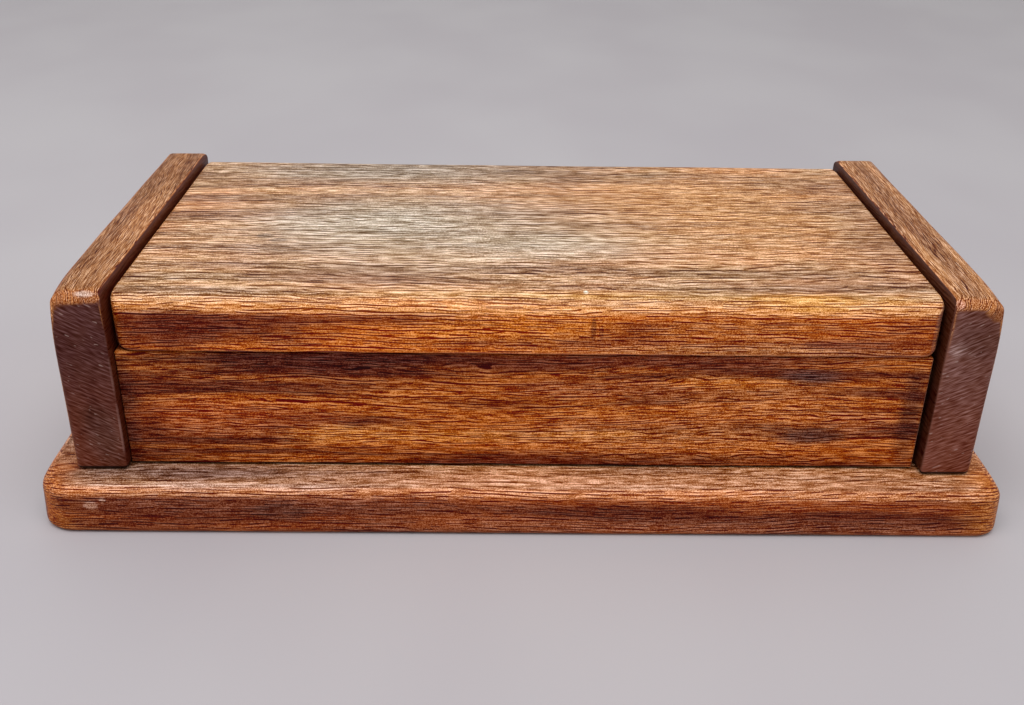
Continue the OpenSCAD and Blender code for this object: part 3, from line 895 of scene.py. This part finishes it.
SHAPES = {
    "base_board": dict(
        plan=(12.5, 9.0, 11.0, 11.0),
        front=(2.3, 2.3, 5.6, 5.6),
        side=(2.3, 2.3, 5.6, 4.4),
        wander=0.18,
        hollow=0.15,
        margin=(15.0, 15.0, 8.0),
        flat=((2, 0),),
        dents=(((-181, -94, 21), 13, 1.8), ((181, -94, 21), 12, 1.2)),
        seed=11,
    ),
    "left_end_board": dict(
        END_WEAR,
        plan=(2.2, 1.0, 1.2, 1.8),
        front=(1.8, 1.8, 1.8, 4.6),
        side=(1.8, 1.8, 4.0, 5.0),
        flat=((2, 0), (0, 1)),
        dents=(((-168, -82, 95), 14, 1.7),),
        seed=21,
    ),
    "right_end_board": dict(
        END_WEAR,
        plan=(1.4, 2.2, 1.6, 1.0),
        front=(1.8, 1.8, 4.8, 1.8),
        side=(1.8, 1.8, 4.0, 5.0),
        flat=((2, 0), (0, 0)),
        dents=(((170, -82, 95), 14, 1.3), ((168, -60, 50), 36, 0.35)),
        seed=31,
    ),
    "back_panel": dict(
        plan=(0.4, 0.4, 0.4, 0.4),
        front=(0.4, 0.4, 0.4, 0.4),
        side=(0.8, 0.8, 0.8, 0.8),
        wander=0.3,
        hollow=0.1,
        margin=(3.0, 3.0, 3.0),
        flat=((2, 0), (0, 0), (0, 1)),
        seed=41,
    ),
    "front_panel": dict(
        plan=(0.4, 0.6, 0.4, 0.4),
        front=(0.4, 0.6, 0.6, 0.4),
        side=(0.8, 0.8, 0.8, 0.8),
        wander=0.5,
        hollow=0.12,
        margin=(3.0, 3.0, 3.0),
        flat=((0, 0), (0, 1)),
        seed=51,
    ),
    "lid_board": dict(
        plan=(4.6, 4.6, 1.2, 1.2),
        front=(5.2, 5.0, 1.2, 1.2),
        side=(1.2, 10.7, 4.0, 6.4),
        wander=0.12,
        hollow=0.16,
        margin=(8.0, 11.5, 11.0),
        flat=((2, 0),),
        seed=61,
    ),
}

# ---- The wood of each board ----

# What the boards have in common. Colours are 0 to 255 values. A row of dashes gives gap, thickness, length,
# bend and depth. A blot gives its middle, its radii, its strength and its colour. marks (stains and tone, and
# on the front panel painted shade) lie under the golden roundings (wear with a painted highlight) and the
# dust with its painted sheen, sheen_and_dust_blots (painted sheen and highlights, and dust) lie on the top
# alone, and rim_marks_and_highlights, details and ring_stains (middle, radius, strength, colour) lie over
# them.
RICH = dict(
    amber=(204, 102, 14),
    brown=(134, 52, 12),
    # dust and dust_dark: dust on the tops, with a painted sheen
    dust=(202, 162, 122),
    dust_dark=(164, 128, 94),
    # gold: wear with a painted highlight on the upper roundings
    gold=(234, 168, 92),
    end=(94, 50, 44),
    end_low=(106, 52, 38),
    # inner: colour of the painted shade on the end boards' faces inside
    inner=(74, 24, 14),
    # foot: colour of the painted contact shadow under the boards' bottom edges
    foot=(24, 10, 8),
    # edge: colour of those pale lines of wear and painted highlight
    edge=(196, 150, 132),
    fleck=(170, 140, 132),
    inner_face="x",
    inner_shade_share=0.0,
    top_share=1.0,
    gold_share=0.55,
    gold_from=(0.1, 0.5),
    end_share=0.97,
    end_turn=0.6,
    side_grain_corners=(),
    end_top=0.24,
    contact_shadow_share=0.95,
    end_contrast=0.15,
    inner_contrast=0.35,
    edge_share=0.3,
    dust_low=0.6,
    dust_high=0.98,
    line_depth=1.0,
    top_line_depth=0.8,
    line_edge=0.3,
    sway_reach=1.0,
    dashes=(
        (1.2, 0.46, 6.0, 1.3, 0.38),
        (2.6, 0.48, 20.0, 1.2, 0.38),
    ),
    fibre_length=6.0,
    fibre_width=0.42,
    fibre_contrast=0.75,
    streak_length=36.0,
    streak_width=0.4,
    streak_contrast=0.5,
    speck_size=0.34,
    speck_contrast=0.65,
    ring_bend=2.2,
    tone_lift=-0.02,
    saw_slope=0.5,
    saw_gap=1.75,
    saw_depth=0.14,
    stroke_contrast=0.5,
    zone_length=130.0,
    zone_width=8.0,
    fine_spread=(1.0, 1.0, 1.0),
    drift=8.0,
    ripple=1.6,
    roughness=0.38,
    top_roughness=0.1,
    side_shine=0.08,
    top_shine=0.08,
    coat=0.1,
)

# The end boards stand upright with their grain from front to back; their faces inside, in the narrow gaps
# beside the lid and the panels, get a dark painted shade.
END_WOOD = dict(
    RICH,
    grain="y",
    inner_shade_share=0.95,
    dashes=(
        (0.55, 0.22, 5.0, 1.2, 0.24),
        (1.3, 0.26, 14.0, 1.2, 0.26),
    ),
    streak_contrast=0.35,
    fibre_contrast=0.5,
    speck_contrast=0.45,
)

LID_OAK = dict(
    RICH,
    grain="x",
    seed=1,
    heart=(0.0, -520.0, -900.0),
    contact_shadow_share=0.0,
    ring_bend=1.5,
    sway_reach=1.8,
    dashes=(
        (1.05, 0.38, 6.0, 1.3, 0.38),
        (2.1, 0.42, 16.0, 1.1, 0.40),
    ),
    top_line_depth=0.62,
    gold_from=(-0.04, 0.34),
    fibre_contrast=0.55,
    amber=(214, 110, 20),
    drift=5.0,
    ripple=0.8,
    streak_contrast=0.4,
    fine_spread=(1.0, 3.0, 1.0),
    marks=(
        ((-120, -77, 76), (62, 9, 10), 0.9, (112, 38, 12)),
        ((-5, -77, 78), (60, 9, 10), 0.75, (232, 134, 40)),
        ((75, -77, 78), (60, 9, 8), 0.65, (218, 126, 48)),
        ((125, -77, 76), (26, 9, 6), 0.5, (160, 82, 36)),
        ((70, -77, 69), (110, 9, 4), 0.6, (226, 146, 78)),
    ),
    gold=(232, 174, 112),
    rim_marks_and_highlights=(
        ((-115, -78, 79), (62, 9, 7), 0.85, (114, 42, 16)),
        # The next two paint highlights on the front top rounding: a pale line on the left, and a golden band
        # with wear on the right.
        ((-100, -75, 88), (70, 6, 4), 0.5, (204, 168, 130)),
        ((106, -76, 88), (60, 9, 4), 0.6, (234, 168, 84)),
        ((136, -77, 79), (16, 9, 5), 0.5, (146, 72, 34)),
    ),
    details=(
        ((21.3, -68.8, 88.6), (1.2, 1.8, 3), 1.0, (244, 226, 206)),
        ((24.0, -76.4, 77.5), (1.3, 5, 6), 0.55, (110, 44, 16)),
        ((26.8, -76.4, 76.0), (1.0, 5, 4), 0.45, (120, 50, 20)),
        ((-101, -18, 88.6), (4.5, 3.2, 3), 0.6, (116, 92, 74)),
        ((-95, -22, 88.6), (4.5, 2.6, 3), 0.6, (104, 80, 62)),
    ),
    ring_stains=(
        ((115, -26, 88.4), 6.5, 0.5, (146, 92, 52)),
        ((77, -57, 88.4), 5.5, 0.4, (146, 96, 60)),
    ),
    # Top blots: the pale grey ones paint the varnish's sheen, the last is a golden band of wear with a
    # painted highlight along the front edge, and the others are dust and tone.
    sheen_and_dust_blots=(
        ((80, 20, 88.6), (90, 70, 9), 0.8, (204, 148, 94)),
        ((-35, -14, 88.6), (120, 62, 9), 0.65, (188, 170, 148)),
        ((-58, 64, 88.6), (130, 28, 9), 0.95, (160, 142, 124)),
        ((-58, 3, 88.6), (66, 40, 9), 0.6, (188, 178, 162)),
        ((8, -22, 88.6), (50, 18, 9), 0.45, (194, 182, 164)),
        ((72, -60, 88.6), (100, 5, 9), 0.5, (166, 128, 100)),
        ((-108, -71, 88.6), (60, 7, 9), 0.85, (150, 112, 84)),
        ((142, -14, 88.6), (24, 60, 9), 0.7, (158, 112, 78)),
        ((50, -76, 88.6), (170, 10, 9), 0.85, (236, 178, 104)),
    ),
)

FRONT_PANEL_OAK = dict(
    RICH,
    grain="x",
    seed=2,
    amber=(190, 98, 20),
    brown=(118, 48, 14),
    zone_width=5.5,
    fibre_contrast=0.85,
    heart=(0.0, -260.0, -800.0),
    top_share=0.0,
    dashes=(
        (1.2, 0.38, 8.0, 1.3, 0.36),
        (2.7, 0.42, 36.0, 1.3, 0.42),
    ),
    gold_share=0.0,
    top_shine=0.05,
    coat=0.0,
    marks=(
        # The first two paint a dark band along the top, under the lid: painted shade with stain.
        ((-85, -75, 64), (105, 8, 7), 0.92, (86, 30, 18)),
        ((70, -75, 65), (100, 8, 4), 0.4, (140, 66, 34)),
        ((90, -75, 46), (60, 8, 14), 0.65, (206, 118, 48)),
        # Painted shadow beside the left end board
        ((-144, -75, 45), (7, 8, 34), 0.7, (84, 32, 20)),
        ((-112, -75, 41), (52, 8, 9), 0.75, (196, 96, 30)),
        ((50, -75, 32), (84, 8, 11), 0.8, (206, 122, 52)),
        ((44, -75, 39), (50, 8, 5), 0.7, (192, 108, 46)),
        ((124, -75, 41), (18, 8, 9), 0.7, (192, 108, 50)),
        ((30, -75, 53), (50, 8, 5), 0.65, (190, 104, 46)),
        ((-105, -75, 34), (42, 8, 4), 0.7, (176, 88, 32)),
        # Painted shadow beside the right end board
        ((142, -75, 45), (7, 8, 34), 0.7, (80, 32, 22)),
        ((104, -75, 58.5), (17, 8, 4.5), 0.85, (96, 54, 44)),
        ((106, -75, 33.5), (19, 8, 5), 0.85, (92, 50, 40)),
        ((75, -75, 56), (32, 8, 4), 0.6, (228, 132, 40)),
        ((-40, -75, 33), (70, 8, 5), 0.7, (232, 142, 50)),
        ((30, -75, 34), (40, 8, 3), 0.6, (232, 150, 70)),
        ((-20, -75, 20), (120, 8, 4), 0.7, (112, 44, 20)),
    ),
)

BACK_PANEL_OAK = dict(
    RICH,
    grain="x",
    seed=3,
    heart=(0.0, 260.0, -800.0),
    top_share=0.2,
)

BASE_OAK = dict(
    RICH,
    amber=(166, 80, 28),
    brown=(112, 46, 18),
    dust=(194, 140, 98),
    dust_dark=(154, 108, 78),
    # On the base the golden front rounding is mostly a painted highlight, with some wear.
    gold=(232, 158, 104),
    grain="x",
    seed=4,
    heart=(0.0, -560.0, -900.0),
    fine_spread=(1.0, 2.4, 1.0),
    end_turn=0.74,
    edge=(190, 104, 44),
    contact_shadow_share=0.0,
    sway_reach=3.0,
    ring_bend=1.2,
    coat=0.03,
    top_line_depth=0.45,
    dashes=(
        (1.2, 0.42, 6.0, 1.3, 0.34),
        (2.8, 0.44, 22.0, 1.0, 0.26),
    ),
    fibre_contrast=0.55,
    streak_contrast=0.3,
    details=(
        ((-157, -92, 12.2), (3.2, 3, 2.4), 0.55, (204, 150, 122)),
        ((-152.5, -92, 14.5), (1.4, 3, 1.4), 0.6, (214, 164, 138)),
        ((-88.6, -92, 9.9), (15, 4, 5), 0.55, (84, 42, 30)),
    ),
    rim_marks_and_highlights=(
        ((-90, -93, 13.5), (115, 9, 7), 0.8, (142, 76, 46)),
        ((50, -93, 4), (150, 9, 6), 0.6, (150, 84, 52)),
        # A painted highlight along the front top rounding
        ((-110, -89, 19), (80, 3, 3), 0.7, (210, 172, 154)),
        ((-184, -90, 8), (36, 36, 30), 1.0, (172, 90, 14)),
        ((182, -90, 8), (26, 32, 26), 0.95, (182, 104, 34)),
    ),
    # Top blots: the first paints the highlight along the front edge, the others are dust.
    sheen_and_dust_blots=(
        ((20, -86, 19.6), (170, 5, 9), 0.6, (216, 162, 128)),
        ((-155, -50, 19.6), (60, 60, 9), 0.8, (128, 94, 76)),
        ((-120, -81, 19.6), (105, 10, 9), 0.9, (120, 88, 76)),
        ((90, -82, 19.6), (90, 9, 9), 0.5, (196, 140, 98)),
    ),
)

LEFT_END_OAK = dict(
    END_WOOD,
    amber=(190, 122, 66),
    brown=(146, 86, 48),
    dust=(166, 116, 76),
    dust_dark=(138, 92, 58),
    gold=(176, 108, 60),
    end=(84, 46, 44),
    end_low=(104, 52, 38),
    edge_share=0.65,
    edge=(150, 112, 104),
    side_grain_corners=(((-168, -80, 90), (11, 12, 8)),),
    # A painted highlight on the front top rounding
    details=(((-152.5, -78.5, 90.4), (5.5, 2.5, 1.6), 0.75, (232, 200, 184)),),
    end_marks=(((-152, -80, 34), (10, 4, 16), 0.5, (78, 54, 50)),),
    seed=5,
    heart=(-430.0, 0.0, -60.0),
)

RIGHT_END_OAK = dict(
    END_WOOD,
    amber=(194, 126, 70),
    brown=(150, 90, 52),
    dust=(192, 140, 96),
    dust_dark=(150, 104, 70),
    gold=(180, 114, 66),
    end=(108, 66, 58),
    end_low=(116, 62, 48),
    edge_share=0.5,
    saw_slope=-0.45,
    # A darker painted shade inside the right end board
    inner=(58, 20, 13),
    edge=(124, 80, 68),
    side_grain_corners=(((170, -80, 90), (11, 12, 8)),),
    details=(((150.6, -78.8, 89.6), (2.2, 2.5, 2.2), 0.6, (222, 160, 136)),),
    end_marks=(
        ((152.3, -80, 71.8), (5, 4, 6), 0.7, (160, 124, 116)),
        ((158, -80, 76), (14, 4, 12), 0.5, (92, 58, 52)),
    ),
    inner_face="-x",
    seed=6,
    heart=(430.0, 0.0, -60.0),
)

WOODS = {
    "lid_board": LID_OAK,
    "front_panel": FRONT_PANEL_OAK,
    "back_panel": BACK_PANEL_OAK,
    "base_board": BASE_OAK,
    "left_end_board": LEFT_END_OAK,
    "right_end_board": RIGHT_END_OAK,
}


def board_bores():
    """The bores of each board, from the pins, dowels and screws that sit in it."""
    bores = {name: [] for name in SHAPES}
    locked, unlocked = END_ROOM, LOCK_TRAVEL + END_ROOM
    travels = {"left": (locked, unlocked), "right": (unlocked, locked)}
    for side, (more_low, more_high) in travels.items():
        end = side + "_end_board"
        bores[end] += pin_bores(side + "_lock_pin", "x", RUNNING, more_low, more_high)
        bores["lid_board"] += pin_bores(side + "_lock_pin", "x", RUNNING, more_low, more_high)
        bores[end] += pin_bores(side + "_pivot_pin", "x", FIXED, END_ROOM, END_ROOM)
        bores["lid_board"] += pin_bores(side + "_pivot_pin", "x", RUNNING, END_ROOM, END_ROOM)
        bores["lid_board"] += screw_bores(side + "_hook_screws", FIXED, HOOK_SHANK)
        bores["front_panel"] += pin_bores(side + "_strike_pin", "y", FIXED, END_ROOM, OPEN_END)
        bores[end] += screw_bores(side + "_end_screws", FIXED, BASE_SHANK)
        bores["base_board"] += screw_bores(side + "_end_screws", FIXED, BASE_SHANK)
        for panel, travel in (("front_panel", PANEL_TRAVEL), ("back_panel", 0.0)):
            dowels = f"{panel}_{side}_dowels"
            beyond = END_ROOM + travel
            bores[panel] += pin_bores(dowels, "x", FIXED, END_ROOM, END_ROOM)
            bores[end] += pin_bores(dowels, "x", RUNNING, beyond, beyond)
    bores["back_panel"] += screw_bores("back_panel_screws", FIXED, BASE_SHANK)
    bores["base_board"] += screw_bores("back_panel_screws", FIXED, BASE_SHANK)
    return bores


def make_boards():
    """Puts the six worn boards in the place of the CAD ones, bored, with their oak and on their bodies."""
    bodies = {"lid_board": "lid", "front_panel": "sliding_front"}
    bores = board_bores()
    for name, shape in SHAPES.items():
        board = worn_board("worn_" + name, name, shape)
        bore_out(board, bores[name])
        smooth(board)
        board.data.materials.clear()
        board.data.materials.append(oak(name + "_oak", WOODS[name]))
        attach(board, bodies.get(name, "carcass"))


def dress_fittings():
    """Gives the CAD pins, dowels, screws and hooks their materials."""
    pin = steel("turned_steel", colour(186, 184, 180), 0.26)
    screw = steel("dull_screw_steel", colour(150, 146, 140), 0.38)
    chosen = {
        "_lock_pin": pin,
        "_pivot_pin": pin,
        "_strike_pin": pin,
        "_lid_hook": brass("aged_brass", colour(196, 158, 92), colour(112, 78, 40)),
        "_hook_screws": brass("brass_screw", colour(204, 168, 100), colour(120, 84, 44)),
        "_dowels": dowel_wood("birch_dowel"),
        "_end_screws": screw,
        "panel_screws": screw,
    }
    for name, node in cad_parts.items():
        for ending, material in chosen.items():
            if name.endswith(ending):
                node.data.materials.clear()
                node.data.materials.append(material)


# ---- Floor and light ----

FLOOR_REACH = 4000.0
SKY_COLOUR = (1.0, 0.99, 0.975, 1.0)
SKY_STRENGTH = 0.56
# Soft rectangular lamps: name, place and target in metres, width and depth in metres, watts
LAMPS = (
    ("overhead", (0.0, -0.4, 1.7), (0, 0, 0), (1.8, 1.0), 16.0),
    ("ceiling_strip", (-0.35, -0.62, 1.25), (-0.05, 0, 0), (1.5, 0.14), 5.0),
    ("back_window", (-0.5, 2.2, 1.3), (0, 0, 0.05), (1.6, 1.0), 3.0),
)


def make_floor():
    reach = FLOOR_REACH
    corners = [(-reach, -reach, 0), (reach, -reach, 0), (reach, reach, 0), (-reach, reach, 0)]
    floor = mesh_object("floor", corners, [(0, 1, 2, 3)])
    floor.data.materials.append(floor_material())


def area_light(name, place, target, size, watts):
    data = bpy.data.lights.new(name, "AREA")
    data.shape = "RECTANGLE"
    data.size, data.size_y = size
    data.energy = watts
    lamp = bpy.data.objects.new(name, data)
    bpy.context.scene.collection.objects.link(lamp)
    lamp.location = place
    lamp.rotation_euler = (Vector(target) - Vector(place)).to_track_quat("-Z", "Y").to_euler()


def make_light():
    world = bpy.data.worlds.new("studio")
    world.use_nodes = True
    background = world.node_tree.nodes["Background"]
    background.inputs["Color"].default_value = SKY_COLOUR
    background.inputs["Strength"].default_value = SKY_STRENGTH
    bpy.context.scene.world = world
    for lamp in LAMPS:
        area_light(*lamp)
    bpy.context.scene.view_settings.view_transform = "Standard"


make_camera()
make_boards()
dress_fittings()
make_floor()
make_light()
